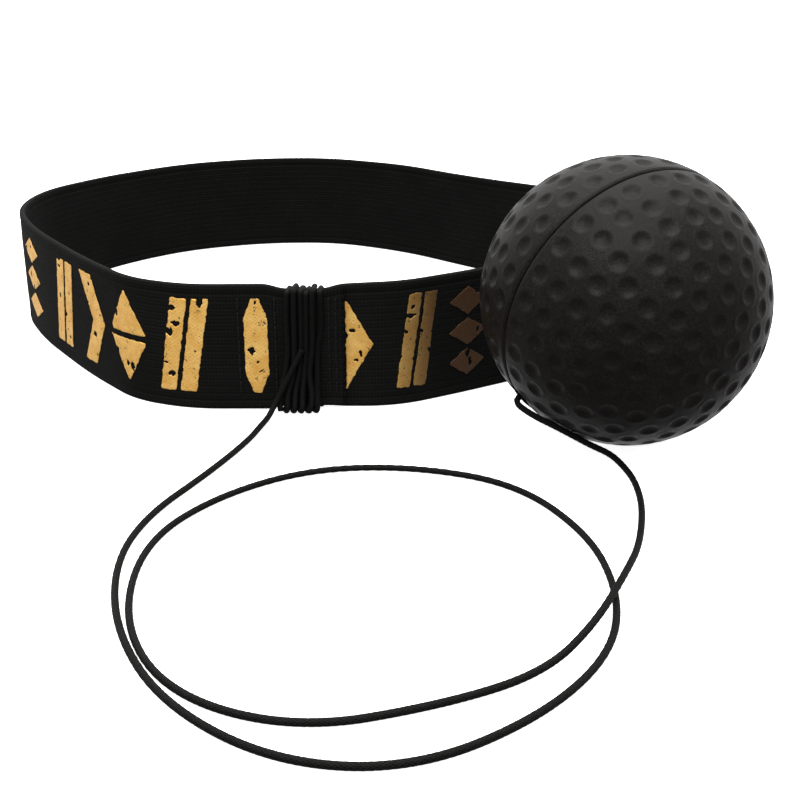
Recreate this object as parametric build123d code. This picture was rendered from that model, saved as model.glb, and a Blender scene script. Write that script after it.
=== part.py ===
from build123d import *
import math
import os

# Reflex ball headband: an elastic headband standing on its lower edge, a round elastic cord
# lashed to it, and a foam ball on the cord's far end. Millimetres, +Z up. The origin is on the
# surface that it stands on, at the centre of the box round the band and the ball.

# Driving dimensions
WEBBING_WIDTH = 30.0
WEBBING_THICKNESS = 1.6
THREAD_SIDE = 0.5
THREAD_COUNT = 15
THREAD_PITCH = 1.7
FOIL_THICKNESS = 0.12
FOIL_HEIGHT = 22.5
STITCH_DIAMETER = 0.4
CORD_DIAMETER = 1.4
BALL_DIAMETER = 63.0
SEAM_GLUE_THICKNESS = 0.3

# The band's centre line seen from above, from the strip's outer end to its inner end.
BAND_ROUTE = [
    (0.5, -50.2), (-36, -50.2), (-50, -45), (-64.5, -28), (-83, -0.5), (-93, 21.5), (-92.5, 46),
    (-77, 70), (-56.5, 87.5), (-32, 96), (-8, 96.5), (15, 85), (38, 65.5), (60, 50), (82, 28),
    (87, 13.5), (78.5, -5), (49, -27), (27, -40.5), (12.5, -48.5), (-25, -48.5),
]

# The lashing: turns of the cord side by side round both layers of the lap.
LASHING_TURNS = 6
LASHING_PITCH = 1.45
LASHING_CENTRE_X = -8.7
LASHING_SLEEVE = 0.9
NOTCH_DEPTH = 1.5
NOTCH_FLARE = 1.2

# The ball: its centre, the seam plane's normal, and the way the cord leaves it, in that plane.
BALL_CENTRE = Vector(62, -66, BALL_DIAMETER / 2)
SEAM_NORMAL = Vector(0.484, -0.837, -0.253).normalized()
CORD_EXIT = Vector(-0.737, -0.235, -0.634).normalized()
SEAM_GROOVE = 0.6
CHANNEL_RADIUS = CORD_DIAMETER / 2 + 0.05
KNOT_POCKET_RADIUS = 2.7
KNOT_RADIUS = 2.3
TAIL_LENGTH = 5.0
STUB_SUNK = 0.4
EXIT_BEND_PROUD = 2.4

# The cord's route, from inside the lashing's front turns to the ball's exit.
FLOOR = CORD_DIAMETER / 2 + 0.05
HUMP = FLOOR + CORD_DIAMETER + 3.0
STUB_END = BALL_CENTRE + CORD_EXIT * (BALL_DIAMETER / 2 - STUB_SUNK)
EXIT_BEND = BALL_CENTRE + CORD_EXIT * (BALL_DIAMETER / 2 + EXIT_BEND_PROUD)
CORD_ROUTE = [
    (-9.2, -52.2, 15.5), (-13.0, -53.5, 8.0), (-15.2, -54.4, 3.4), (-16.4, -57.0, FLOOR),
    (-17.6, -62.0, FLOOR), (-20.5, -71.5, FLOOR), (-27, -88, FLOOR), (-37, -107, FLOOR),
    (-40, -126, FLOOR), (-34, -149, FLOOR), (-23, -170, FLOOR), (-5, -185, FLOOR),
    (16, -187, FLOOR), (35, -173, FLOOR), (48, -156, FLOOR), (52, -137, FLOOR),
    (50, -115, FLOOR), (38, -93, FLOOR), (17, -84, FLOOR), (-5, -86, FLOOR), (-23, -99, FLOOR),
    (-34, -118, FLOOR), (-33, -146, FLOOR), (-22, -167, FLOOR), (-2, -176, FLOOR),
    (20, -171, FLOOR), (36, -161.5, FLOOR), (45.5, -150, HUMP), (53.5, -132, HUMP),
    (58.5, -119, FLOOR), (61.0, -104, FLOOR), (61.0, -92.5, FLOOR), (60.4, -86.6, FLOOR + 0.2),
    (57.6, -83.6, 2.4), (53.0, -83.6, 4.4), (48.6, -83.9, 6.4), (44.2, -82.9, 8.2),
    (40.6, -80.2, 9.5), (38.3, -77.0, 10.0),
    tuple(EXIT_BEND), tuple(STUB_END),
]

os.makedirs("parts", exist_ok=True)


def save(shape, name):
    shape.label = name
    export_step(shape, f"parts/{name}.step")


def corner_radii(points):
    """The largest tangent arc at each corner that leaves a tenth of the shorter run straight."""
    radii = []
    for before, corner, after in zip(points, points[1:], points[2:]):
        run_in = corner - before
        run_out = after - corner
        half_turn = math.radians(run_in.get_angle(run_out)) / 2
        radii.append(0.45 * min(run_in.length, run_out.length) / math.tan(half_turn))
    return radii


def rounded_route(points):
    points = [Vector(*point) for point in points]
    return FilletPolyline(*points, radius=corner_radii(points))


def ring(y_low, y_high, z_low, z_high, x, section_radius, corner):
    """A closed loop of round cord in a plane across X, its centre line a rounded rectangle."""
    corners = [(x, y_low, z_low), (x, y_high, z_low), (x, y_high, z_high), (x, y_low, z_high)]
    path = FilletPolyline(*corners, radius=corner, close=True)
    section = Plane(origin=path @ 0, z_dir=path % 0) * Circle(section_radius)
    return sweep(section, path=Wire(path.edges()))


# ---------------------------------------------------------------- headband
band_path = rounded_route([(x, y, 0) for x, y in BAND_ROUTE])
band_start = Plane(origin=band_path @ 0, x_dir=(0, -1, 0), z_dir=band_path % 0)
outer_face_y = BAND_ROUTE[0][1] - WEBBING_THICKNESS / 2
inner_face_y = BAND_ROUTE[-1][1] + WEBBING_THICKNESS / 2
thread_heights = [
    WEBBING_WIDTH / 2 + (index - (THREAD_COUNT - 1) / 2) * THREAD_PITCH
    for index in range(THREAD_COUNT)
]


def along_band(offset, thickness, z_low, z_high):
    """A strip that follows the band, its middle offset outwards from the band's centre line."""
    section = Pos(offset, (z_low + z_high) / 2) * Rectangle(thickness, z_high - z_low)
    return sweep(band_start * section, path=band_path)


def lashing_notches():
    """The band is squeezed narrower under the lashing, at its top and its bottom edge."""
    half = LASHING_TURNS * LASHING_PITCH / 2 + 0.05
    profile = Polyline(
        (-half - NOTCH_FLARE, 0), (-half, NOTCH_DEPTH), (half, NOTCH_DEPTH),
        (half + NOTCH_FLARE, 0), (half, -1), (-half, -1), close=True,
    )
    depth = inner_face_y - outer_face_y + 2
    lower = extrude(Plane.XZ * make_face(profile), amount=-depth)
    lower = Pos(LASHING_CENTRE_X, outer_face_y - 1, 0) * lower
    middle = Plane(origin=(0, 0, WEBBING_WIDTH / 2), z_dir=(0, 0, 1))
    return [lower, mirror(lower, about=middle)]


threads = [
    along_band(0, THREAD_SIDE, height - THREAD_SIDE / 2, height + THREAD_SIDE / 2)
    for height in thread_heights
]
webbing = along_band(0, WEBBING_THICKNESS, 0, WEBBING_WIDTH)
webbing = webbing.cut(*threads, *lashing_notches())
save(webbing, "webbing")
save(Compound(children=threads), "rubber_threads")


def lap_stitches():
    """Rows of lock stitches through both layers, their legs between the rubber threads."""
    rows = [-1.4, -3.0, -15.4, -23.9]
    first_gap = thread_heights[0] - THREAD_PITCH / 2
    leg_inset = 0.3
    stitches = []
    for x in rows:
        for start in range(1, THREAD_COUNT, 2):
            z_low = first_gap + start * THREAD_PITCH + leg_inset
            z_high = first_gap + (start + 2) * THREAD_PITCH - leg_inset
            stitches.append(
                ring(outer_face_y - 0.05, inner_face_y + 0.05, z_low, z_high, x,
                     STITCH_DIAMETER / 2, STITCH_DIAMETER * 0.6)
            )
    return stitches


save(Compound(children=lap_stitches()), "lap_stitching")


PRINT_BASE = (WEBBING_WIDTH - FOIL_HEIGHT) / 2
PRINT_TOP = PRINT_BASE + FOIL_HEIGHT
PRINT_MIDDLE = WEBBING_WIDTH / 2


def leaning(left, width, low, high, lean):
    """A leaning four-sided bar, as points along the band and up it."""
    return [(left, low), (left + width, low), (left + width + lean, high), (left + lean, high)]


def needle(width):
    """A narrow upright lozenge with blunt points."""
    half = width / 2
    blunt = 0.9
    shoulder = FOIL_HEIGHT * 0.2
    return [
        [(-blunt, PRINT_BASE), (blunt, PRINT_BASE), (half, PRINT_BASE + shoulder),
         (half, PRINT_TOP - shoulder), (blunt, PRINT_TOP), (-blunt, PRINT_TOP),
         (-half, PRINT_TOP - shoulder), (-half, PRINT_BASE + shoulder)]
    ]


def stripes(width):
    """Two parallel stripes that lean strongly the same way."""
    thick = width * 0.31
    lean = width * 0.3
    return [
        leaning(-width / 2, thick, PRINT_BASE, PRINT_TOP, lean),
        leaning(width / 2 - thick - lean, thick, PRINT_BASE, PRINT_TOP, lean),
    ]


def lozenge(width):
    """A tall lozenge, cut across its middle."""
    half = width / 2
    cut = 0.7
    return [
        [(-half, PRINT_MIDDLE - cut), (0, PRINT_BASE), (half, PRINT_MIDDLE - cut)],
        [(-half, PRINT_MIDDLE + cut), (half, PRINT_MIDDLE + cut), (0, PRINT_TOP)],
    ]


def half_lozenge(width):
    """The part of a lozenge that the lap's edge leaves showing."""
    return [[(-width / 2, PRINT_BASE), (width / 2, PRINT_MIDDLE), (-width / 2, PRINT_TOP)]]


def chevron(width):
    """An arrowhead lying on its side, with a thick arm."""
    left, right = -width / 2, width / 2
    arm = width * 0.5
    return [
        [(left, PRINT_BASE), (left + arm, PRINT_BASE), (right, PRINT_MIDDLE),
         (left + arm, PRINT_TOP), (left, PRINT_TOP), (right - arm, PRINT_MIDDLE)]
    ]


def stack(width):
    """Three small lozenges, one above the other."""
    half = width / 2
    rise = FOIL_HEIGHT / 6 * 0.92
    outlines = []
    for index in range(3):
        middle = PRINT_BASE + FOIL_HEIGHT / 6 * (2 * index + 1)
        outlines.append([(-half, middle), (0, middle - rise), (half, middle), (0, middle + rise)])
    return outlines


# One repeat of the print: the motif, where its middle is along the strip, and its width.
PRINT_REPEAT = [
    (needle, 20.4, 5.6), (stripes, 37.4, 13.0), (lozenge, 53.2, 12.5), (chevron, 69.0, 12.0),
    (stripes, 86.5, 14.0), (stack, 112.0, 13.5),
]
REPEAT_LENGTH = 111.0
REPEAT_COUNT = 4
# The last motifs, measured back from the strip's inner end.
PRINT_END = [(stack, 56.5, 10.5), (stripes, 42.7, 10.5), (half_lozenge, 29.0, 6.4)]
END_MARGIN = 68.0

foil_shell = along_band(
    WEBBING_THICKNESS / 2 + FOIL_THICKNESS / 2, FOIL_THICKNESS, 1, WEBBING_WIDTH - 1
)


def foil(distance, outlines):
    """Foil pieces on the band's outer face, their middle a distance along its centre line."""
    share = distance / band_path.length
    along = band_path.tangent_at(share)
    outward = Vector(-along.Y, along.X, 0)
    local = Plane(origin=band_path.position_at(share) + outward * 4, x_dir=-along, z_dir=outward)
    pieces = []
    for outline in outlines:
        prism = extrude(local * make_face(Polyline(*outline, close=True)), amount=-4.5)
        pieces += (foil_shell & prism).solids()
    return pieces


def print_layout():
    """Every motif of the print with its distance along the strip, grouped by kind."""
    node_of = {
        needle: "foil_needles", stripes: "foil_stripes", lozenge: "foil_lozenges",
        half_lozenge: "foil_lozenges", chevron: "foil_chevrons", stack: "foil_stacks",
    }
    layout = {node: [] for node in node_of.values()}
    for repeat in range(REPEAT_COUNT):
        for motif, middle, width in PRINT_REPEAT:
            distance = middle + repeat * REPEAT_LENGTH
            if distance < band_path.length - END_MARGIN:
                layout[node_of[motif]].append((distance, motif(width)))
    for motif, back, width in PRINT_END:
        layout[node_of[motif]].append((band_path.length - back, motif(width)))
    return layout


for node, motifs in print_layout().items():
    pieces = [piece for distance, outlines in motifs for piece in foil(distance, outlines)]
    save(Compound(children=pieces), node)


# ---------------------------------------------------------------- lashing
def lashing():
    """The cord's turns round the lap, joined to a sleeve that stands for their inner strands."""
    radius = CORD_DIAMETER / 2
    low, high = NOTCH_DEPTH, WEBBING_WIDTH - NOTCH_DEPTH
    depth = inner_face_y - outer_face_y
    middle = (LASHING_CENTRE_X, (outer_face_y + inner_face_y) / 2, WEBBING_WIDTH / 2)
    length = (LASHING_TURNS - 1) * LASHING_PITCH + CORD_DIAMETER
    body = Pos(middle) * Box(
        length - 0.4, depth + 2 * LASHING_SLEEVE, high - low + 2 * LASHING_SLEEVE
    )
    first_x = LASHING_CENTRE_X - (LASHING_TURNS - 1) * LASHING_PITCH / 2
    for turn in range(LASHING_TURNS):
        body += ring(
            outer_face_y - radius, inner_face_y + radius, low - radius, high + radius,
            first_x + turn * LASHING_PITCH, radius, 1.1,
        )
    return body - Pos(middle) * Box(length + 2, depth, high - low)


save(lashing(), "cord_lashing")

knot_y = inner_face_y + CORD_DIAMETER
knot = Pos(LASHING_CENTRE_X, knot_y + 1.3, 17) * Sphere(1.9)
knot += Pos(LASHING_CENTRE_X, knot_y + 1.3, 17) * Rot(0, 60, 20) * Torus(1.6, CORD_DIAMETER / 2)
tail_start = Vector(LASHING_CENTRE_X, knot_y + 1.6, 16)
tail_plane = Plane(origin=tail_start, z_dir=(-0.35, 0.12, -0.93))
knot += extrude(tail_plane * Circle(CORD_DIAMETER / 2), amount=11)
knot &= Pos(LASHING_CENTRE_X, knot_y + 20, 17) * Box(40, 40, 40)
save(knot, "lashing_knot")

# ---------------------------------------------------------------- ball
exit_plane = Plane(origin=BALL_CENTRE, z_dir=CORD_EXIT)
seam_plane = Plane(origin=BALL_CENTRE, z_dir=SEAM_NORMAL)
to_ball = Pos(BALL_CENTRE)
ball_radius = BALL_DIAMETER / 2

channel = extrude(exit_plane * Circle(CHANNEL_RADIUS), amount=BALL_DIAMETER)
tail_channel = extrude(exit_plane * Circle(CHANNEL_RADIUS), amount=-TAIL_LENGTH - 0.5)
pocket = to_ball * Sphere(KNOT_POCKET_RADIUS)
exit_dent = Pos(BALL_CENTRE + CORD_EXIT * (ball_radius + 1.2)) * Sphere(2.4)
ball_hollow = pocket + channel + tail_channel + exit_dent


def ball_half(side):
    """One foam half, turned about the seam's normal, with a groove at its edge."""
    flat = SEAM_GLUE_THICKNESS / 2
    rim = (math.sqrt(ball_radius**2 - SEAM_GROOVE**2), SEAM_GROOVE)
    middle = (ball_radius * math.cos(math.radians(45)), ball_radius * math.sin(math.radians(45)))
    profile = Polyline((0, ball_radius), (0, flat), (ball_radius - SEAM_GROOVE - flat, flat), rim)
    profile += ThreePointArc(rim, middle, (0, ball_radius))
    half = revolve(Plane.XZ * make_face(profile), axis=Axis.Z)
    return Plane(origin=BALL_CENTRE, z_dir=SEAM_NORMAL * side) * half - ball_hollow


save(ball_half(1), "ball_half_rear")
save(ball_half(-1), "ball_half_front")
glue = extrude(seam_plane * Circle(ball_radius - SEAM_GROOVE - 0.3),
               amount=SEAM_GLUE_THICKNESS / 2, both=True)
save(glue - ball_hollow, "seam_glue")

ball_knot = to_ball * Sphere(KNOT_RADIUS * 0.8)
ball_knot += exit_plane * Torus(KNOT_RADIUS - CORD_DIAMETER / 2, CORD_DIAMETER / 2)
ball_knot += exit_plane * Rot(65, 0, 0) * Torus(KNOT_RADIUS - CORD_DIAMETER / 2,
                                              CORD_DIAMETER / 2)
ball_knot += extrude(exit_plane * Circle(CORD_DIAMETER / 2), amount=ball_radius - STUB_SUNK)
ball_knot += extrude(exit_plane * Circle(CORD_DIAMETER / 2), amount=-TAIL_LENGTH)
save(ball_knot, "ball_knot")

# ---------------------------------------------------------------- cord
cord_points = [Vector(*point) for point in CORD_ROUTE]
cord_path = rounded_route(CORD_ROUTE)
cord_section = Plane(origin=cord_path @ 0, z_dir=cord_path % 0) * Circle(CORD_DIAMETER / 2)
cord = sweep(cord_section, path=cord_path)
save(cord, "cord")

print("band length", round(band_path.length, 1))
print("cord length", round(cord_path.length, 1))
print("cord radii", [round(radius, 1) for radius in corner_radii(cord_points)])
print("cord volume ratio", cord.volume / (math.pi * CORD_DIAMETER**2 / 4 * cord_path.length))
print("stub end", STUB_END, "exit bend", EXIT_BEND)
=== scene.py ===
"""Looks of the reflex ball headband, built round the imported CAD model. Metres, row frame."""

import math

import bpy
import numpy as np
from mathutils import Matrix, Vector


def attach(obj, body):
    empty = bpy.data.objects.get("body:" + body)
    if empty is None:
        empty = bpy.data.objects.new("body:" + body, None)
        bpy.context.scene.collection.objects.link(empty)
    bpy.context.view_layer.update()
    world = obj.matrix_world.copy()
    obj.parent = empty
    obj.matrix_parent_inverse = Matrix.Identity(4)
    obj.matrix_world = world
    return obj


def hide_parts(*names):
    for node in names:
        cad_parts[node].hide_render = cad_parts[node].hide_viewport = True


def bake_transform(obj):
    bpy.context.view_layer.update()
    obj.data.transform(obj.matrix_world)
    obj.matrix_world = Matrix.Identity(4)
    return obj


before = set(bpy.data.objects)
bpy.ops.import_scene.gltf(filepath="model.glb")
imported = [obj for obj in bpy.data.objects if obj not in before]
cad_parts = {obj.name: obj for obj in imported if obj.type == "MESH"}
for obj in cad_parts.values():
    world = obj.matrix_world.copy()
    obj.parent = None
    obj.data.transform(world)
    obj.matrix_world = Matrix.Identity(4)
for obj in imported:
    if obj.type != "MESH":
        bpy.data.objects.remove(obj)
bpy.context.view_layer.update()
MM = 0.001

# Sizes shared with the CAD model
WEBBING_WIDTH = 30 * MM
WEBBING_THICKNESS = 1.6 * MM
THREAD_PITCH = 1.7 * MM
THREAD_SIDE = 0.5 * MM
THREAD_COUNT = 15
FOIL_HEIGHT = 22.5 * MM
CORD_RADIUS = 0.7 * MM
BALL_RADIUS = 31.5 * MM
BALL_CENTRE = Vector((0.062, -0.066, BALL_RADIUS))
SEAM_NORMAL = Vector((0.484, -0.837, -0.253)).normalized()
CORD_EXIT = Vector((-0.737, -0.235, -0.634)).normalized()
SEAM_GLUE_THICKNESS = 0.3 * MM
SEAM_GROOVE = 0.6 * MM
OUTER_FACE_Y = -51.0 * MM
INNER_FACE_Y = -47.7 * MM
LASHING_CENTRE_X = -8.7 * MM

# The band's route seen from above, from its outer end to its inner end, in millimetres
BAND_ROUTE = [
    (0.5, -50.2), (-36, -50.2), (-50, -44.6), (-64.6, -27.2), (-83, -0.5), (-93.6, 21.5),
    (-93.1, 46), (-77, 70), (-56.5, 87.5), (-32, 96), (-8, 96.5), (15, 85), (38, 65.5), (60, 50),
    (82, 28), (87, 13.5), (78.5, -5), (49, -27), (27, -40.5), (12.5, -48.5), (-25, -48.5),
]

# The cord's route, from the lashing to the ball, in metres: on the floor, or over its own loop
FLOOR = 0.00075
OVER = 0.0027
CORD_ROUTE = [
    (-0.0092, -0.0522, 0.0155), (-0.0130, -0.0535, 0.0080), (-0.0154, -0.0544, 0.0034),
    (-0.0170, -0.0570, FLOOR), (-0.0182, -0.0620, FLOOR), (-0.0205, -0.0715, FLOOR),
    (-0.0270, -0.0880, FLOOR), (-0.0362, -0.1072, FLOOR), (-0.0388, -0.1260, FLOOR),
    (-0.0342, -0.1490, FLOOR), (-0.0230, -0.1698, FLOOR), (-0.0046, -0.1842, FLOOR),
    (0.0157, -0.1857, FLOOR), (0.0350, -0.1732, FLOOR), (0.0480, -0.1560, FLOOR),
    (0.0520, -0.1370, FLOOR), (0.0496, -0.1152, FLOOR), (0.0378, -0.0933, FLOOR),
    (0.0170, -0.0847, FLOOR), (-0.0050, -0.0856, FLOOR), (-0.0234, -0.0986, FLOOR),
    (-0.0348, -0.1180, FLOOR), (-0.0337, -0.1462, FLOOR), (-0.0225, -0.1676, FLOOR),
    (-0.0020, -0.1766, FLOOR), (0.0198, -0.1704, FLOOR), (0.0363, -0.1618, FLOOR),
    (0.0459, -0.1502, OVER), (0.0541, -0.1323, OVER), (0.0587, -0.1190, FLOOR),
    (0.0619, -0.1038, FLOOR), (0.0624, -0.0922, FLOOR), (0.0612, -0.0852, 0.0009),
    (0.0588, -0.0814, 0.0022), (0.0546, -0.0812, 0.0041), (0.0505, -0.0817, 0.0066),
    (0.0465, -0.0813, 0.0087), (0.0428, -0.0794, 0.0099), (0.0401, -0.0766, 0.0107),
    (0.0388, -0.0741, 0.0111), (0.03908, -0.07331, 0.01179),
]

# ---------------------------------------------------------------- node helpers


class Nodes:
    """A material's node tree, with short calls for the nodes that this script uses."""

    def __init__(self, name):
        self.material = bpy.data.materials.new(name)
        self.material.use_nodes = True
        self.tree = self.material.node_tree
        self.shader = self.tree.nodes["Principled BSDF"]

    def add(self, kind, **settings):
        node = self.tree.nodes.new(kind)
        for key, value in settings.items():
            setattr(node, key, value)
        return node

    def link(self, source, target):
        self.tree.links.new(source, target)

    def feed(self, socket, value):
        if isinstance(value, bpy.types.NodeSocket):
            self.link(value, socket)
        else:
            socket.default_value = value

    def math(self, operation, *values):
        node = self.add("ShaderNodeMath", operation=operation)
        for socket, value in zip(node.inputs, values):
            self.feed(socket, value)
        return node.outputs[0]

    def strip_coordinates(self):
        """Millimetres along a piece and across it, from its own map."""
        uv = self.add("ShaderNodeUVMap", uv_map="mm")
        split = self.add("ShaderNodeSeparateXYZ")
        self.link(uv.outputs["UV"], split.inputs[0])
        return split.outputs["X"], split.outputs["Y"]

    def object_point(self, scale=1.0):
        """The point in the piece's own frame, in millimetres times scale."""
        coordinates = self.add("ShaderNodeTexCoord")
        node = self.add("ShaderNodeVectorMath", operation="SCALE")
        self.link(coordinates.outputs["Object"], node.inputs[0])
        node.inputs["Scale"].default_value = 1000 * scale
        return node.outputs[0]

    def noise(self, vector, scale, detail=3.0, roughness=0.55, distortion=0.0):
        node = self.add("ShaderNodeTexNoise")
        self.link(vector, node.inputs["Vector"])
        node.inputs["Scale"].default_value = scale
        node.inputs["Detail"].default_value = detail
        node.inputs["Roughness"].default_value = roughness
        node.inputs["Distortion"].default_value = distortion
        return node.outputs["Fac"]

    def ramp(self, value, low, high, to_low=0.0, to_high=1.0):
        """value from low..high to to_low..to_high, held outside it, with soft ends."""
        node = self.add("ShaderNodeMapRange", interpolation_type="SMOOTHSTEP")
        for socket, number in zip(node.inputs[1:5], (low, high, to_low, to_high)):
            socket.default_value = number
        self.link(value, node.inputs[0])
        return node.outputs[0]

    def blend(self, factor, colour_a, colour_b):
        node = self.add("ShaderNodeMix", data_type="RGBA")
        self.feed(node.inputs["Factor"], factor)
        for socket, colour in ((node.inputs[6], colour_a), (node.inputs[7], colour_b)):
            self.feed(socket, colour if isinstance(colour, bpy.types.NodeSocket) else (*colour, 1))
        return node.outputs[2]

    def bump(self, height, distance, strength=1.0, below=None):
        node = self.add("ShaderNodeBump")
        self.link(height, node.inputs["Height"])
        node.inputs["Distance"].default_value = distance
        node.inputs["Strength"].default_value = strength
        if below is not None:
            self.link(below, node.inputs["Normal"])
        return node.outputs["Normal"]

    def finish(self, colour, roughness, normal=None, **constants):
        self.feed(self.shader.inputs["Base Color"],
                  colour if isinstance(colour, bpy.types.NodeSocket) else (*colour, 1))
        self.feed(self.shader.inputs["Roughness"], roughness)
        if normal is not None:
            self.link(normal, self.shader.inputs["Normal"])
        for name, value in constants.items():
            socket = self.shader.inputs[name.replace("_", " ")]
            self.feed(socket, value)
        return self.material


# ---------------------------------------------------------------- materials


def webbing_material():
    """Black knitted elastic: columns of small V stitches over each rubber thread."""
    n = Nodes("knitted_elastic")
    along, across = n.strip_coordinates()
    column = n.math("FRACT", n.math("DIVIDE", across, 0.85))
    lean = n.math("ABSOLUTE", n.math("SUBTRACT", column, 0.5))
    phase = n.math("ADD", n.math("MULTIPLY", along, 2 * math.pi / 0.8),
                   n.math("MULTIPLY", lean, 5.0))
    stitch = n.math("SINE", phase)
    furrow = n.math("COSINE", n.math("MULTIPLY", column, 2 * math.pi))
    knit = n.math("SUBTRACT", n.math("MULTIPLY", stitch, 0.5), n.math("MULTIPLY", furrow, 0.5))
    fuzz = n.noise(n.object_point(), 2.8, 4, 0.7)
    patches = n.noise(n.object_point(), 0.07, 3, 0.6)
    height = n.math("ADD", knit, n.math("MULTIPLY", fuzz, 1.8))
    light_yarn = n.math("MULTIPLY", n.ramp(height, 0.0, 1.9), n.ramp(patches, 0.3, 0.75, 0.4, 1))
    colour = n.blend(light_yarn, (0.0032, 0.0032, 0.0030), (0.0085, 0.0082, 0.0076))
    normal = n.bump(height, 0.00008, 0.6)
    return n.finish(colour, n.ramp(fuzz, 0.3, 0.7, 0.75, 0.9), normal, Specular_IOR_Level=0.07)


def cord_material():
    """Black braided elastic cord: two crossing families of fine yarn."""
    n = Nodes("braided_cord")
    along, around = n.strip_coordinates()
    turn = n.math("MULTIPLY", around, 2 * math.pi * 8)
    step = n.math("MULTIPLY", along, 2 * math.pi / 0.9)
    left = n.math("SINE", n.math("ADD", turn, step))
    right = n.math("SINE", n.math("SUBTRACT", turn, step))
    yarn = n.math("MAXIMUM", left, right)
    fuzz = n.noise(n.object_point(), 3.0, 3, 0.65)
    height = n.math("ADD", yarn, n.math("MULTIPLY", fuzz, 0.8))
    colour = n.blend(n.ramp(height, -0.4, 1.5), (0.0018, 0.0018, 0.0017), (0.0055, 0.0053, 0.0050))
    return n.finish(colour, n.ramp(fuzz, 0.3, 0.7, 0.55, 0.72), n.bump(height, 0.00006, 0.7),
                    Specular_IOR_Level=0.07)


def thread_material():
    """Black polyester sewing thread with a fine twist."""
    n = Nodes("sewing_thread")
    wave = n.add("ShaderNodeTexWave", wave_type="BANDS", bands_direction="DIAGONAL")
    n.link(n.object_point(), wave.inputs["Vector"])
    wave.inputs["Scale"].default_value = 2.6
    wave.inputs["Distortion"].default_value = 0.6
    twist = wave.outputs["Fac"]
    colour = n.blend(twist, (0.003, 0.003, 0.003), (0.009, 0.009, 0.0085))
    return n.finish(colour, 0.55, n.bump(twist, 0.00005, 0.6), Specular_IOR_Level=0.15)


def latex_material():
    """Black latex thread, slightly dusty, seen only at the strip's cut ends."""
    n = Nodes("latex_thread")
    dust = n.noise(n.object_point(), 1.6, 3, 0.6)
    colour = n.blend(n.ramp(dust, 0.35, 0.7), (0.005, 0.005, 0.005), (0.016, 0.015, 0.014))
    return n.finish(colour, 0.7, n.bump(dust, 0.00003, 0.5), Specular_IOR_Level=0.15)


def foil_material():
    """Worn gold transfer film, with black chips, and painted shade: brown near the lap's inner end,
    where the ball stands beside the band.
    """
    n = Nodes("worn_gold_foil")
    point = n.object_point()
    along, across = n.strip_coordinates()
    weave = n.math("MULTIPLY", n.math("SINE", n.math("MULTIPLY", along, 2 * math.pi / 1.15)),
                   n.math("SINE", n.math("MULTIPLY", across, 2 * math.pi / 0.85)))
    tone = n.noise(point, 0.28, 4, 0.6)
    grain = n.noise(point, 2.2, 4, 0.7)
    scuff = n.noise(point, 0.85, 5, 0.62, 0.6)
    specks = n.noise(point, 4.2, 2, 0.6)
    gold = n.blend(n.ramp(tone, 0.3, 0.72), (0.84, 0.455, 0.095), (0.97, 0.61, 0.18))
    gold = n.blend(n.math("MULTIPLY", n.ramp(grain, 0.46, 0.74), 0.4), gold, (0.50, 0.25, 0.045))
    # painted shade: the foil beside the ball is darkened to brown, standing in for the ball's
    # shadow and its dark reflection
    painted_ball_shade = n.math("MULTIPLY", n.ramp(along, 498, 472), n.ramp(along, 430, 455))
    gold = n.blend(painted_ball_shade, gold, (0.080, 0.036, 0.014))
    worn = n.ramp(n.math("ADD", scuff, n.math("MULTIPLY", grain, 0.22)), 0.735, 0.79)
    worn = n.math("MAXIMUM", worn, n.ramp(specks, 0.66, 0.71))
    colour = n.blend(worn, gold, (0.012, 0.010, 0.008))
    height = n.math("SUBTRACT", n.math("MULTIPLY", weave, 0.35),
                    n.math("SUBTRACT", n.math("MULTIPLY", worn, 1.2), grain))
    metal = n.ramp(worn, 0.0, 1.0, 0.5, 0.0)
    return n.finish(colour, n.ramp(grain, 0.3, 0.7, 0.40, 0.62), n.bump(height, 0.00009, 0.8),
                    Metallic=metal, Specular_IOR_Level=0.4)


def foam_material():
    """Black moulded polyurethane foam skin: fine pores, faint mottling and a dusty bloom."""
    n = Nodes("foam_skin")
    point = n.object_point()
    mottle = n.noise(point, 0.14, 4, 0.6)
    pores = n.noise(point, 2.1, 5, 0.68)
    voronoi = n.add("ShaderNodeTexVoronoi", feature="F1")
    n.link(point, voronoi.inputs["Vector"])
    voronoi.inputs["Scale"].default_value = 1.5
    cells = n.ramp(voronoi.outputs["Distance"], 0.0, 0.45)
    height = n.math("ADD", n.math("MULTIPLY", cells, 0.5), pores)
    bloom = n.math("MULTIPLY", n.ramp(mottle, 0.3, 0.75, 0.4, 1), n.ramp(pores, 0.35, 0.7))
    colour = n.blend(bloom, (0.0066, 0.0056, 0.0050), (0.0150, 0.0135, 0.0130))
    return n.finish(colour, n.ramp(pores, 0.3, 0.7, 0.30, 0.42), n.bump(height, 0.00009, 0.55),
                    Specular_IOR_Level=0.055)


def glue_material():
    """Dark seam of contact cement, satin, with faint lumps."""
    n = Nodes("seam_glue")
    lumps = n.noise(n.object_point(), 1.2, 3, 0.6)
    colour = n.blend(lumps, (0.0015, 0.0015, 0.0015), (0.004, 0.0038, 0.0036))
    return n.finish(colour, 0.6, n.bump(lumps, 0.0001, 0.6), Specular_IOR_Level=0.05)


def floor_material():
    n = Nodes("studio_floor")
    grain = n.noise(n.object_point(), 0.02, 2, 0.5)
    colour = n.blend(grain, (0.80, 0.80, 0.80), (0.83, 0.83, 0.83))
    return n.finish(colour, 0.8, Specular_IOR_Level=0.1, Emission_Color=(1, 1, 1, 1),
                    Emission_Strength=0.9)


MATERIALS = {
    "webbing": webbing_material(),
    "cord": cord_material(),
    "thread": thread_material(),
    "latex": latex_material(),
    "foil": foil_material(),
    "foam": foam_material(),
    "glue": glue_material(),
}

# ---------------------------------------------------------------- mesh helpers


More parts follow.
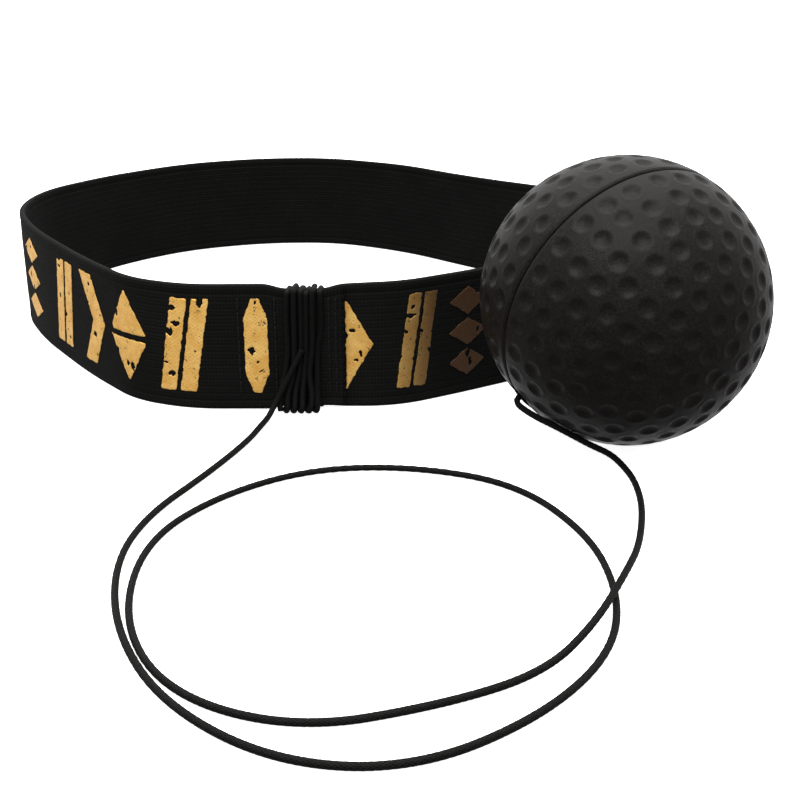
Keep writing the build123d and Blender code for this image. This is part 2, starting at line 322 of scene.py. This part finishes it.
def make_mesh(name, vertices, faces, material, uvs=None, smooth=True):
    """A mesh piece from lists; uvs holds one pair of millimetres for each vertex."""
    mesh = bpy.data.meshes.new(name)
    mesh.from_pydata([tuple(v) for v in vertices], [], faces)
    if uvs is not None:
        layer = mesh.uv_layers.new(name="mm")
        corners = np.zeros(len(mesh.loops), np.int32)
        mesh.loops.foreach_get("vertex_index", corners)
        layer.data.foreach_set("uv", np.asarray(uvs, np.float32)[corners].ravel())
    mesh.validate()
    if smooth:
        mesh.polygons.foreach_set("use_smooth", [True] * len(mesh.polygons))
    mesh.materials.append(material)
    piece = bpy.data.objects.new(name, mesh)
    bpy.context.scene.collection.objects.link(piece)
    return piece


def grid_faces(rows, columns, closed):
    """Quads of a grid of vertices, row by row; closed joins its last column to its first."""
    faces = []
    for row in range(rows - 1):
        for column in range(columns if closed else columns - 1):
            after = (column + 1) % columns
            faces.append((row * columns + column, row * columns + after,
                          (row + 1) * columns + after, (row + 1) * columns + column))
    return faces


def tube(name, points, radius, sides, material, braid=0.0, braid_pitch=2.4 * MM, closed=False):
    """A round cord along dense points, its surface raised into two crossing yarn families."""
    points = np.asarray(points, float)
    if closed:
        tangents = np.roll(points, -1, 0) - np.roll(points, 1, 0)
    else:
        tangents = np.gradient(points, axis=0)
    tangents /= np.linalg.norm(tangents, axis=1)[:, None]
    lengths = np.r_[0, np.cumsum(np.linalg.norm(np.diff(points, axis=0), axis=1))]
    side = np.cross(tangents[0], (0.3, 0.2, 1.0))
    angles = np.linspace(0, 2 * math.pi, sides, endpoint=False)
    vertices, uvs = [], []
    for point, tangent, length in zip(points, tangents, lengths):
        side = side - tangent * (side @ tangent)
        side /= np.linalg.norm(side)
        other = np.cross(tangent, side)
        step = 2 * math.pi * length / braid_pitch
        yarn = np.maximum(np.cos(4 * angles + step), np.cos(4 * angles - step))
        reach = radius * (1 - braid * (1 - yarn) / 2)
        ring = point + reach[:, None] * (np.outer(np.cos(angles), side)
                                         + np.outer(np.sin(angles), other))
        vertices.extend(ring)
        uvs.extend((length * 1000, angle / (2 * math.pi)) for angle in angles)
    faces = grid_faces(len(points), sides, True)
    last = (len(points) - 1) * sides
    faces.append(tuple(range(sides))[::-1])
    faces.append(tuple(range(last, last + sides)))
    return make_mesh(name, vertices, faces, material, uvs)


def smooth_line(points, per_point=12, order=3):
    """Dense points of the smooth line that control points make."""
    curve = bpy.data.curves.new("route", "CURVE")
    curve.dimensions = "3D"
    spline = curve.splines.new("NURBS")
    spline.points.add(len(points) - 1)
    for target, point in zip(spline.points, points):
        target.co = (*point, 1)
    spline.order_u = order
    spline.use_endpoint_u = True
    spline.resolution_u = per_point
    holder = bpy.data.objects.new("route", curve)
    line = bpy.data.meshes.new_from_object(holder)
    found = [tuple(vertex.co) for vertex in line.vertices]
    bpy.data.objects.remove(holder)
    bpy.data.curves.remove(curve)
    bpy.data.meshes.remove(line)
    return found


def value_noise(x, y, seed):
    """Smooth noise from -1 to 1 over a plane, the same on every run."""
    table = np.random.default_rng(seed).uniform(-1, 1, (64, 64))
    x0, y0 = np.floor(x).astype(int), np.floor(y).astype(int)
    fx, fy = x - x0, y - y0
    fx, fy = fx * fx * (3 - 2 * fx), fy * fy * (3 - 2 * fy)
    corner = [[table[(x0 + i) % 64, (y0 + j) % 64] for j in (0, 1)] for i in (0, 1)]
    near = corner[0][0] * (1 - fx) + corner[1][0] * fx
    far = corner[0][1] * (1 - fx) + corner[1][1] * fx
    return near * (1 - fy) + far * fy


# ---------------------------------------------------------------- the band's shape


def band_centre_line():
    """Dense points along the band: straight runs joined by the largest tangent arcs."""
    corners = np.array(BAND_ROUTE, float) * MM
    line = [corners[0]]
    for before, corner, after in zip(corners, corners[1:], corners[2:]):
        run_in, run_out = corner - before, after - corner
        reach = 0.45 * min(np.linalg.norm(run_in), np.linalg.norm(run_out))
        way_in, way_out = run_in / np.linalg.norm(run_in), run_out / np.linalg.norm(run_out)
        turn = math.atan2(way_in[0] * way_out[1] - way_in[1] * way_out[0], way_in @ way_out)
        radius = reach / math.tan(abs(turn) / 2)
        normal = np.array([-way_in[1], way_in[0]]) * math.copysign(1, turn)
        start = corner - way_in * reach
        for step in range(25):
            angle = abs(turn) * step / 24
            line.append(start + way_in * radius * math.sin(angle)
                        + normal * radius * (1 - math.cos(angle)))
    line.append(corners[-1])
    line = np.array(line)
    distance = np.r_[0, np.cumsum(np.linalg.norm(np.diff(line, axis=0), axis=1))]
    even = np.linspace(0, distance[-1], 4001)
    return even, np.c_[np.interp(even, distance, line[:, 0]), np.interp(even, distance, line[:, 1])]


BAND_S, BAND_XY = band_centre_line()
BAND_LENGTH = BAND_S[-1]
BAND_WAY = np.gradient(BAND_XY, axis=0)
BAND_WAY /= np.linalg.norm(BAND_WAY, axis=1)[:, None]
# the near side stands a little taller than the nominal width, and the lashing pulls it in
NEAR_RISE = 0.8 * MM
SQUEEZE_TOP = 1.1 * MM
SQUEEZE_BOTTOM = 0.8 * MM
# the far side leans back at its foot
FAR_LEAN = 3 * MM
FAR_LIFT = 0.15 * MM
# the top edge drops towards the lap's inner end, and the outer end's lower corner is drawn up
LAP_DROP = 0.9 * MM
CORNER_LIFT = 0.7 * MM
EDGE_WAVE = 0.16 * MM
# the lashing crosses both layers of the lap, so it is met twice along the band
LASHED_AT = (
    BAND_ROUTE[0][0] * MM - LASHING_CENTRE_X,
    BAND_LENGTH - (LASHING_CENTRE_X - BAND_ROUTE[-1][0] * MM),
)


def fade(value, start, end):
    """From 0 at start to 1 at end, with soft ends."""
    share = np.clip((value - start) / (end - start), 0, 1)
    return share * share * (3 - 2 * share)


def squeeze(s):
    """How far the lashing pulls in the band's edges, from 0 to 1."""
    near = np.minimum(np.abs(s - LASHED_AT[0]), np.abs(s - LASHED_AT[1]))
    return 1 - fade(near, 3.9 * MM, 9.5 * MM)


def band_edge_wave(s):
    """The small waver of the band's upper edge."""
    return value_noise(s / (19 * MM), s * 0 + 0.5, 4) * EDGE_WAVE


def rib_relief(z):
    """The surface rises over each rubber thread, and over a corded selvedge at each edge."""
    middle = WEBBING_WIDTH / 2
    rib = 0.025 * MM * np.cos(2 * math.pi * (z - middle) / THREAD_PITCH)
    from_edge = middle - np.abs(z - middle)
    selvedge = 0.07 * MM * np.exp(-((from_edge - 1.0 * MM) / (0.55 * MM)) ** 2)
    furrow = 0.09 * MM * np.exp(-((from_edge - 2.2 * MM) / (0.3 * MM)) ** 2)
    return rib + selvedge - furrow


def on_band(s, out, z):
    """Points given by distance along the band, out from its centre line, and up its width."""
    s, out, z = np.broadcast_arrays(np.asarray(s, float), out, z)
    middle = WEBBING_WIDTH / 2
    above = np.clip((z - middle) / middle, 0, 1)
    below = np.clip((middle - z) / middle, 0, 1)
    height = z + squeeze(s) * (below * SQUEEZE_BOTTOM - above * SQUEEZE_TOP)
    lap_drop = fade(s, BAND_LENGTH - 34 * MM, BAND_LENGTH - 14 * MM) * LAP_DROP
    height = height + (band_edge_wave(s) - lap_drop) * above
    x = np.interp(s, BAND_S, BAND_XY[:, 0])
    y = np.interp(s, BAND_S, BAND_XY[:, 1])
    far = fade(y, 20 * MM, 85 * MM)
    y = y + far * FAR_LEAN * (1 - z / WEBBING_WIDTH)
    height = height + far * FAR_LIFT * below + (1 - far) * NEAR_RISE * z / WEBBING_WIDTH
    height = height + (1 - fade(s, 0, 6 * MM)) * below * CORNER_LIFT
    way_x = np.interp(s, BAND_S, BAND_WAY[:, 0])
    way_y = np.interp(s, BAND_S, BAND_WAY[:, 1])
    return np.stack([x - way_y * out, y + way_x * out, height], axis=-1)


def build_webbing():
    """The knitted strip: outer face up, over the top edge, inner face down, under the bottom."""
    half = WEBBING_THICKNESS / 2
    edge = 0.5 * MM
    face = np.arange(edge, WEBBING_WIDTH - edge + 1e-9, THREAD_PITCH / 6)
    bend = np.linspace(0, math.pi, 9)[1:-1]
    top_out, top_z = half * np.cos(bend), WEBBING_WIDTH - edge + edge * np.sin(bend)
    profile_out = np.r_[half - 0.06 * MM + rib_relief(face), top_out,
                        -half + 0.06 * MM - rib_relief(face[::-1]), -top_out]
    profile_z = np.r_[face, top_z, face[::-1], WEBBING_WIDTH - top_z]
    ends = 0.15 * MM
    stations = np.linspace(ends, BAND_LENGTH - ends, 560)
    points = on_band(stations[:, None], profile_out[None, :], profile_z[None, :])
    width = len(profile_z)
    walk = np.r_[face, WEBBING_WIDTH + np.arange(7) * 0.25 * MM, face + 32 * MM,
                 np.arange(7) * 0.25 * MM - 2 * MM]
    uvs = np.stack(np.broadcast_arrays(stations[:, None], walk[None, :]), -1).reshape(-1, 2) / MM
    faces = grid_faces(len(stations), width, True)
    last = (len(stations) - 1) * width
    faces = [tuple(reversed(quad)) for quad in faces]
    faces.append(tuple(range(width)))
    faces.append(tuple(range(last + width - 1, last - 1, -1)))
    piece = make_mesh("webbing_knit", points.reshape(-1, 3), faces, MATERIALS["webbing"], uvs)
    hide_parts("webbing")
    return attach(piece, "headband")


build_webbing()


def build_threads():
    """The rubber threads inside the knit, one under each rib."""
    side = THREAD_SIDE / 2
    stations = np.linspace(0, BAND_LENGTH, 420)
    outs, ups = np.array([side, side, -side, -side]), np.array([-side, side, side, -side])
    vertices, faces = [], []
    for index in range(THREAD_COUNT):
        height = WEBBING_WIDTH / 2 + (index - (THREAD_COUNT - 1) / 2) * THREAD_PITCH
        points = on_band(stations[:, None], outs[None, :], height + ups[None, :]).reshape(-1, 3)
        first, last = len(vertices), len(vertices) + len(points) - 4
        quads = grid_faces(len(stations), 4, True)
        faces.extend(tuple(first + k for k in reversed(quad)) for quad in quads)
        faces.append((first, first + 1, first + 2, first + 3))
        faces.append((last + 3, last + 2, last + 1, last))
        vertices.extend(points)
    piece = make_mesh("latex_threads", vertices, faces, MATERIALS["latex"], smooth=False)
    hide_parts("rubber_threads")
    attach(piece, "headband")


build_threads()

# ---------------------------------------------------------------- the cord


def build_cord():
    path = smooth_line(CORD_ROUTE, per_point=48)
    piece = tube("cord_braid", path, CORD_RADIUS, 16, MATERIALS["cord"], braid=0.13)
    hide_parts("cord")
    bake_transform(piece)


build_cord()

# ---------------------------------------------------------------- camera and studio


CAMERA_PLACE = (0.0135, -0.336, 0.1176)
CAMERA_DIP = math.radians(22)
LENS = 58.5
FLOOR_REACH = 6.0
# the world's light upwards and to the back: where it starts, where it is full, and both strengths
SKY_LIGHT = (-0.05, 0.75, 0.42, 1.25)
BACK_LIGHT = (0.0, 0.9, 0.0, 0.75)


def build_studio():
    camera_data = bpy.data.cameras.new("camera")
    camera_data.lens = LENS
    camera_data.sensor_width = 36
    camera_data.clip_start = 0.01
    camera = bpy.data.objects.new("camera", camera_data)
    camera.location = CAMERA_PLACE
    camera.rotation_euler = (math.radians(90) - CAMERA_DIP, 0, 0)
    bpy.context.scene.collection.objects.link(camera)
    bpy.context.scene.camera = camera

    reach = FLOOR_REACH
    corners = [(-reach, -reach, 0), (reach, -reach, 0), (reach, reach, 0), (-reach, reach, 0)]
    floor = make_mesh("floor", corners, [(0, 1, 2, 3)], floor_material(), smooth=False)
    floor.visible_diffuse = False
    floor.visible_glossy = False

    # soft light from above, and a dim room below the horizon
    world = bpy.data.worlds.new("studio")
    world.use_nodes = True
    tree = world.node_tree
    direction = tree.nodes.new("ShaderNodeTexCoord")
    split = tree.nodes.new("ShaderNodeSeparateXYZ")
    tree.links.new(direction.outputs["Generated"], split.inputs[0])
    parts = []
    for axis, numbers in (("Z", SKY_LIGHT), ("Y", BACK_LIGHT)):
        part = tree.nodes.new("ShaderNodeMapRange")
        part.interpolation_type = "SMOOTHSTEP"
        for socket, number in zip(part.inputs[1:5], numbers):
            socket.default_value = number
        tree.links.new(split.outputs[axis], part.inputs[0])
        parts.append(part.outputs[0])
    strength = tree.nodes.new("ShaderNodeMath")
    tree.links.new(parts[0], strength.inputs[0])
    tree.links.new(parts[1], strength.inputs[1])
    background = tree.nodes["Background"]
    background.inputs["Color"].default_value = (1, 1, 1, 1)
    tree.links.new(strength.outputs[0], background.inputs["Strength"])
    bpy.context.scene.world = world

    def softbox(name, place, aim, width, height, power):
        light = bpy.data.lights.new(name, "AREA")
        light.shape = "RECTANGLE"
        light.size, light.size_y = width, height
        light.energy = power
        holder = bpy.data.objects.new(name, light)
        holder.location = place
        way = Vector(aim) - Vector(place)
        holder.rotation_euler = way.to_track_quat("-Z", "Y").to_euler()
        bpy.context.scene.collection.objects.link(holder)

    softbox("overhead", (0.05, 0.08, 0.60), (0.04, -0.02, 0.0), 0.60, 0.45, 3.6)
    softbox("front", (-0.06, -0.34, 0.70), (0.0, -0.02, 0.02), 0.7, 0.36, 5.5)
    bpy.context.scene.view_settings.view_transform = "Standard"


build_studio()

# ---------------------------------------------------------------- foil print


def leaning(left, width, low, high, lean):
    """A leaning four-sided bar, as points along the band and up it."""
    return [(left, low), (left + width, low), (left + width + lean, high), (left + lean, high)]


FILM_THICKNESS = 0.09 * MM
PRINT_LIFT = 0.5 * MM
PRINT_BASE = (WEBBING_WIDTH - FOIL_HEIGHT) / 2 + PRINT_LIFT
PRINT_TOP = PRINT_BASE + FOIL_HEIGHT
PRINT_MIDDLE = PRINT_BASE + FOIL_HEIGHT / 2


def needle(width):
    """A narrow upright lozenge with blunt points."""
    half, blunt, shoulder = width / 2, 0.9 * MM, FOIL_HEIGHT * 0.2
    return [
        [(-blunt, PRINT_BASE), (blunt, PRINT_BASE), (half, PRINT_BASE + shoulder),
         (half, PRINT_TOP - shoulder), (blunt, PRINT_TOP), (-blunt, PRINT_TOP),
         (-half, PRINT_TOP - shoulder), (-half, PRINT_BASE + shoulder)]
    ]


def stripes(width):
    """Two parallel stripes that lean strongly the same way."""
    thick, lean = width * 0.31, width * 0.3
    return [
        leaning(-width / 2, thick, PRINT_BASE, PRINT_TOP, lean),
        leaning(width / 2 - thick - lean, thick, PRINT_BASE, PRINT_TOP, lean),
    ]


def lozenge(width):
    """A tall lozenge, cut across its middle."""
    half, cut = width / 2, 0.7 * MM
    return [
        [(-half, PRINT_MIDDLE - cut), (0, PRINT_BASE), (half, PRINT_MIDDLE - cut)],
        [(-half, PRINT_MIDDLE + cut), (half, PRINT_MIDDLE + cut), (0, PRINT_TOP)],
    ]


def half_lozenge(width):
    """The part of a lozenge that the lap's edge leaves showing."""
    return [[(-width / 2, PRINT_BASE), (width / 2, PRINT_MIDDLE), (-width / 2, PRINT_TOP)]]


def chevron(width):
    """An arrowhead lying on its side, with a thick arm."""
    left, right, arm = -width / 2, width / 2, width * 0.5
    return [
        [(left, PRINT_BASE), (left + arm, PRINT_BASE), (right, PRINT_MIDDLE),
         (left + arm, PRINT_TOP), (left, PRINT_TOP), (right - arm, PRINT_MIDDLE)]
    ]


def stack(width):
    """Three small lozenges, one above the other."""
    half, rise = width / 2, FOIL_HEIGHT / 6 * 0.92
    middles = [PRINT_BASE + FOIL_HEIGHT / 6 * (2 * index + 1) for index in range(3)]
    return [[(-half, middle), (0, middle - rise), (half, middle), (0, middle + rise)]
            for middle in middles]


PRINT_REPEAT = [
    (needle, 20.4, 5.6), (stripes, 37.4, 13.0), (lozenge, 53.2, 12.5), (chevron, 69.0, 12.0),
    (stripes, 86.5, 14.0), (stack, 112.0, 13.5),
]
REPEAT_LENGTH = 111 * MM
REPEAT_COUNT = 4
PRINT_END = [(stack, 56.5, 10.5), (stripes, 42.7, 10.5), (half_lozenge, 29.0, 6.4)]
END_MARGIN = 68 * MM
FOIL_NODES = {
    needle: "foil_needles", stripes: "foil_stripes", lozenge: "foil_lozenges",
    half_lozenge: "foil_lozenges", chevron: "foil_chevrons", stack: "foil_stacks",
}


def inside_distance(u, z, outline):
    """How far each point is inside an outline, less than 0 outside it."""
    outline = np.array(outline)
    nearest = np.full(u.shape, np.inf)
    crossings = np.zeros(u.shape, int)
    for (x0, y0), (x1, y1) in zip(outline, np.roll(outline, -1, 0)):
        run = (x1 - x0, y1 - y0)
        share = np.clip(((u - x0) * run[0] + (z - y0) * run[1]) / (run[0] ** 2 + run[1] ** 2), 0, 1)
        nearest = np.minimum(nearest, np.hypot(u - x0 - share * run[0], z - y0 - share * run[1]))
        if y0 != y1:
            crosses = ((z >= min(y0, y1)) & (z < max(y0, y1))
                       & (u < x0 + (z - y0) / (y1 - y0) * run[0]))
            crossings += crosses
    return np.where(crossings % 2 == 1, nearest, -nearest)


def flake(outline, seed):
    """Cells of one foil piece: its outline made ragged and small chips taken out of it."""
    random = np.random.default_rng(seed)
    step = 0.34 * MM
    outline_array = np.array(outline)
    low, high = outline_array.min(0) - step * 2, outline_array.max(0) + step * 2
    us = np.arange(low[0], high[0], step)
    zs = np.arange(low[1], high[1], step)
    u, z = np.meshgrid(us, zs, indexing="ij")
    field = inside_distance(u, z, outline)
    field += value_noise(u / (0.8 * MM) + seed, z / (0.8 * MM), seed) * 0.16 * MM - 0.05 * MM
    area = np.prod(outline_array.max(0) - outline_array.min(0))
    for _ in range(int(1 + area / (26 * MM**2))):
        centre = random.uniform(outline_array.min(0), outline_array.max(0))
        size = random.choice([0.35, 0.45, 0.6, 0.85]) * MM
        lean = random.uniform(0.6, 1.5)
        away = np.hypot((u - centre[0]) * lean, (z - centre[1]) / lean)
        ragged = value_noise(u / (0.45 * MM), z / (0.45 * MM) + seed, seed + 7) * 0.3 * MM
        field = np.minimum(field, away - size + ragged)
    return us, zs, field


def contour_faces(us, zs, field):
    """The region where the field is above 0, as points and faces with smooth borders."""
    points, faces, known = [], [], {}

    def corner(i, j):
        if (i, j) not in known:
            known[(i, j)] = add(us[i], zs[j])
        return known[(i, j)]

    def add(x, y):
        points.append((x, y))
        return len(points) - 1

    def crossing(a, b):
        key = (min(a, b), max(a, b))
        if key not in known:
            share = field[key[0]] / (field[key[0]] - field[key[1]])
            share = min(max(share, 0.02), 0.98)
            start = np.array([us[key[0][0]], zs[key[0][1]]])
            end = np.array([us[key[1][0]], zs[key[1][1]]])
            known[key] = add(*(start + (end - start) * share))
        return known[key]

    for i in range(len(us) - 1):
        for j in range(len(zs) - 1):
            around = [(i, j), (i + 1, j), (i + 1, j + 1), (i, j + 1)]
            signs = [field[c] > 0 for c in around]
            if not any(signs):
                continue
            face = []
            for k in range(4):
                here, after = around[k], around[(k + 1) % 4]
                if signs[k]:
                    face.append(corner(*here))
                if signs[k] != signs[(k + 1) % 4]:
                    face.append(crossing(here, after))
            if len(face) > 2:
                faces.append(face)
    return points, faces


def build_foil():
    layout = []
    for repeat in range(REPEAT_COUNT):
        for motif, middle, width in PRINT_REPEAT:
            distance = middle * MM + repeat * REPEAT_LENGTH
            if distance < BAND_LENGTH - END_MARGIN:
                layout.append((motif, distance, width * MM))
    for motif, back, width in PRINT_END:
        layout.append((motif, BAND_LENGTH - back * MM, width * MM))
    made = {node: ([], [], []) for node in FOIL_NODES.values()}
    seed = 0
    for motif, distance, width in layout:
        vertices, faces, uvs = made[FOIL_NODES[motif]]
        for outline in motif(width):
            seed += 1
            flat, cells = contour_faces(*flake(outline, seed))
            flat = np.array(flat)
            # seen from outside, the band's distance runs to the left
            s, z = distance - flat[:, 0], flat[:, 1]
            face_out = WEBBING_THICKNESS / 2 - 0.02 * MM + 0.15 * rib_relief(z)
            base, count = len(vertices), len(flat)
            vertices.extend(on_band(s, face_out + FILM_THICKNESS, z))
            vertices.extend(on_band(s, face_out - 0.02 * MM, z))
            uvs.extend(np.c_[s, z] / MM)
            uvs.extend(np.c_[s, z] / MM)
            border = {}
            for cell in cells:
                faces.append(tuple(base + k for k in cell))
                faces.append(tuple(base + count + k for k in reversed(cell)))
                for a, b in zip(cell, cell[1:] + cell[:1]):
                    if (b, a) in border:
                        del border[(b, a)]
                    else:
                        border[(a, b)] = True
            faces.extend((base + b, base + a, base + count + a, base + count + b)
                         for a, b in border)
    for node, (vertices, faces, uvs) in made.items():
        piece = make_mesh(node + "_film", vertices, faces, MATERIALS["foil"], uvs)
        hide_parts(node)
        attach(piece, "headband")


build_foil()

# ---------------------------------------------------------------- lashing

LASHING_TURNS = 6
LASHING_PITCH = 1.45 * MM
LASHING_RADIUS = CORD_RADIUS
# how far each turn dips into the band's top edge, and into its front, in millimetres
TOP_DIP = (0.75, 0.1, 0.65, 0.95, 0.2, 0.7)
FRONT_SINK = (0.1, 0.0, 0.5, 0.3, 0.0, 0.35)


def lashing_route():
    """One cord wound round the lap: up the front, over the top, down inside, and under."""
    random = np.random.default_rng(11)
    low, high = SQUEEZE_BOTTOM, WEBBING_WIDTH + NEAR_RISE - SQUEEZE_TOP
    back = INNER_FACE_Y + LASHING_RADIUS + 0.02 * MM
    middle_y = (OUTER_FACE_Y + INNER_FACE_Y) / 2
    under = LASHING_RADIUS + 0.05 * MM
    first = LASHING_CENTRE_X - (LASHING_TURNS - 1) * LASHING_PITCH / 2
    points = []
    for turn in range(LASHING_TURNS):
        x = first + turn * LASHING_PITCH
        front = OUTER_FACE_Y - LASHING_RADIUS + FRONT_SINK[turn] * MM
        wander = random.uniform(-0.5, 0.5, 6) * MM
        bottom = x - (2.2 - turn * 0.3) * MM
        sag = random.uniform(0.0, 0.7) * MM
        top = high - TOP_DIP[turn] * MM
        points += [
            (bottom, front - 2.6 * MM - sag, low + 0.1 * MM),
            (bottom + 0.2 * MM + wander[0], front - 1.5 * MM - sag * 0.5, 4.4 * MM),
            (x - 0.9 * MM + wander[1], front - 0.5 * MM, 9.5 * MM),
            (x - 0.3 * MM + wander[2] * 1.3, front - 0.06 * MM, 15 * MM),
            (x + wander[3], front, 21 * MM),
            (x + wander[3] * 0.5, front, high - 0.9 * MM),
            (x + 0.1 * MM, front + 0.35 * MM, top),
            (x + 0.25 * MM, middle_y, top + 0.2 * MM),
            (x + 0.4 * MM, back - 0.35 * MM, top),
            (x + 0.45 * MM + wander[4], back, high - 0.9 * MM),
            (x + 0.5 * MM + wander[5], back, 15 * MM),
            (x + 0.55 * MM, back, low + 0.9 * MM),
            (x + 0.5 * MM, back - 0.3 * MM, under),
            (x - 0.1 * MM, middle_y, under),
            (bottom + LASHING_PITCH * 0.5, front - 0.9 * MM - sag, under),
        ]
    return points[:-1]


def build_lashing():
    path = smooth_line(lashing_route(), per_point=8)
    piece = tube("lashing_winding", path, LASHING_RADIUS, 14, MATERIALS["cord"], braid=0.13)
    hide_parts("cord_lashing")
    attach(piece, "headband")


def build_lashing_knot():
    """An overhand knot on the inside of the band, with the cord's cut tail hanging from it."""
    centre = Vector((LASHING_CENTRE_X, INNER_FACE_Y + 2 * CORD_RADIUS + 1.3 * MM, 17 * MM))
    points = [(LASHING_CENTRE_X + 1.5 * MM, INNER_FACE_Y + CORD_RADIUS, 24 * MM),
              (LASHING_CENTRE_X + 1.2 * MM, INNER_FACE_Y + 2.0 * MM, 21 * MM)]
    for step in range(14):
        angle = 2 * math.pi * (0.08 + step / 14 * 1.05)
        points.append((
            centre.x + 0.62 * MM * (math.sin(angle) + 2 * math.sin(2 * angle)) * 0.8,
            centre.y + 0.75 * MM * -math.sin(3 * angle),
            centre.z + 0.62 * MM * (math.cos(angle) - 2 * math.cos(2 * angle)),
        ))
    points += [(LASHING_CENTRE_X - 1.6 * MM, INNER_FACE_Y + 2.4 * MM, 13.5 * MM),
               (LASHING_CENTRE_X - 2.9 * MM, INNER_FACE_Y + 2.8 * MM, 9.5 * MM),
               (LASHING_CENTRE_X - 3.6 * MM, INNER_FACE_Y + 2.6 * MM, 5.5 * MM)]
    piece = tube("lashing_overhand_knot", smooth_line(points, per_point=10), CORD_RADIUS, 14,
                 MATERIALS["cord"], braid=0.13)
    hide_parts("lashing_knot")
    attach(piece, "headband")


build_lashing()
build_lashing_knot()

# ---------------------------------------------------------------- ball

DIMPLE_RADIUS = 2.05 * MM
DIMPLE_DEPTH = 0.56 * MM
DIMPLE_PITCH = 6.3 * MM
FIRST_ROW = 4.1 * MM
# how deep and how wide the skin is drawn in at the cord: a small dent in a broad flattening
EXIT_DENT = (1.3 * MM, 2.7 * MM)
EXIT_FLATTENING = (1.0 * MM, 24 * MM)


def dimple_directions(seed):
    """Rows of dimples side by side round a half ball, the rows parallel to its seam."""
    random = np.random.default_rng(seed)
    quarter = math.pi / 2
    row_pitch = DIMPLE_PITCH * 0.87 / BALL_RADIUS
    rows = int((quarter - FIRST_ROW / BALL_RADIUS) / row_pitch) + 1
    directions = []
    for row in range(rows):
        height = FIRST_ROW / BALL_RADIUS + row * row_pitch
        count = max(1, round(2 * math.pi * math.cos(height) * BALL_RADIUS / DIMPLE_PITCH))
        start = random.uniform(0, 2 * math.pi)
        for k in range(count):
            angle = start + 2 * math.pi * k / count + random.normal(0, 0.012)
            rise = height + random.normal(0, 0.008)
            directions.append((math.cos(angle) * math.cos(rise),
                               math.sin(angle) * math.cos(rise), math.sin(rise)))
    return np.array(directions)


def ball_half(name, node, side):
    """Half of the foam ball: a dimpled skin, a rounded seam edge and a flat glued face."""
    columns = 400
    rim = np.linspace(SEAM_GLUE_THICKNESS / 2, 1.3 * MM, 10) / BALL_RADIUS
    heights = np.r_[rim, np.arange(rim[-1] + 0.014, math.pi / 2 - 0.006, 0.0143)]
    angles = np.linspace(0, 2 * math.pi, columns, endpoint=False)
    height, angle = np.meshgrid(heights, angles, indexing="ij")
    way = np.stack([np.cos(angle) * np.cos(height), np.sin(angle) * np.cos(height),
                    np.sin(height)], -1).reshape(-1, 3)
    rows = len(heights)
    reach = np.full(len(way), BALL_RADIUS)
    nearest = np.full(len(way), np.inf)
    for direction in dimple_directions(21 if side > 0 else 34):
        nearest = np.minimum(nearest, np.linalg.norm(way - direction, axis=1) * BALL_RADIUS)
    share = np.clip(nearest / DIMPLE_RADIUS, 0, 1)
    reach -= DIMPLE_DEPTH * (1 - share**2.6) ** 1.3
    lip = np.exp(-((nearest - DIMPLE_RADIUS * 1.08) / (0.4 * MM)) ** 2)
    reach += 0.05 * MM * lip
    from_seam = height.ravel() * BALL_RADIUS
    edge = np.clip(1 - from_seam / (1.0 * MM), 0, 1)
    reach -= SEAM_GROOVE * edge**2
    frame_matrix = SEAM_NORMAL.to_track_quat("Z", "Y").to_matrix()
    if side < 0:
        frame_matrix = frame_matrix @ Matrix.Rotation(math.pi, 3, "X")
    turned = way @ np.array(frame_matrix).T
    from_exit = np.linalg.norm(turned - np.array(CORD_EXIT), axis=1) * BALL_RADIUS
    for depth, width in (EXIT_DENT, EXIT_FLATTENING):
        reach -= depth * np.exp(-((from_exit / width) ** 2))
    points = np.array(BALL_CENTRE) + turned * reach[:, None]
    faces = grid_faces(rows, columns, True)
    pole = len(points)
    top_way = np.array(frame_matrix @ Vector((0, 0, 1)))
    points = np.vstack([points, np.array(BALL_CENTRE) + top_way * (BALL_RADIUS - 0.1 * MM)])
    last = (rows - 1) * columns
    faces += [(last + k, last + (k + 1) % columns, pole) for k in range(columns)]
    faces.append(tuple(reversed(range(columns))))
    piece = make_mesh(name, points, faces, MATERIALS["foam"])
    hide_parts(node)
    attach(piece, "ball")


ball_half("ball_skin_rear", "ball_half_rear", 1)
ball_half("ball_skin_front", "ball_half_front", -1)

# ---------------------------------------------------------------- CAD nodes that stay

for node, material in {
    "lap_stitching": "thread", "ball_knot": "cord", "seam_glue": "glue",
}.items():
    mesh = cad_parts[node].data
    mesh.materials.clear()
    mesh.materials.append(MATERIALS[material])
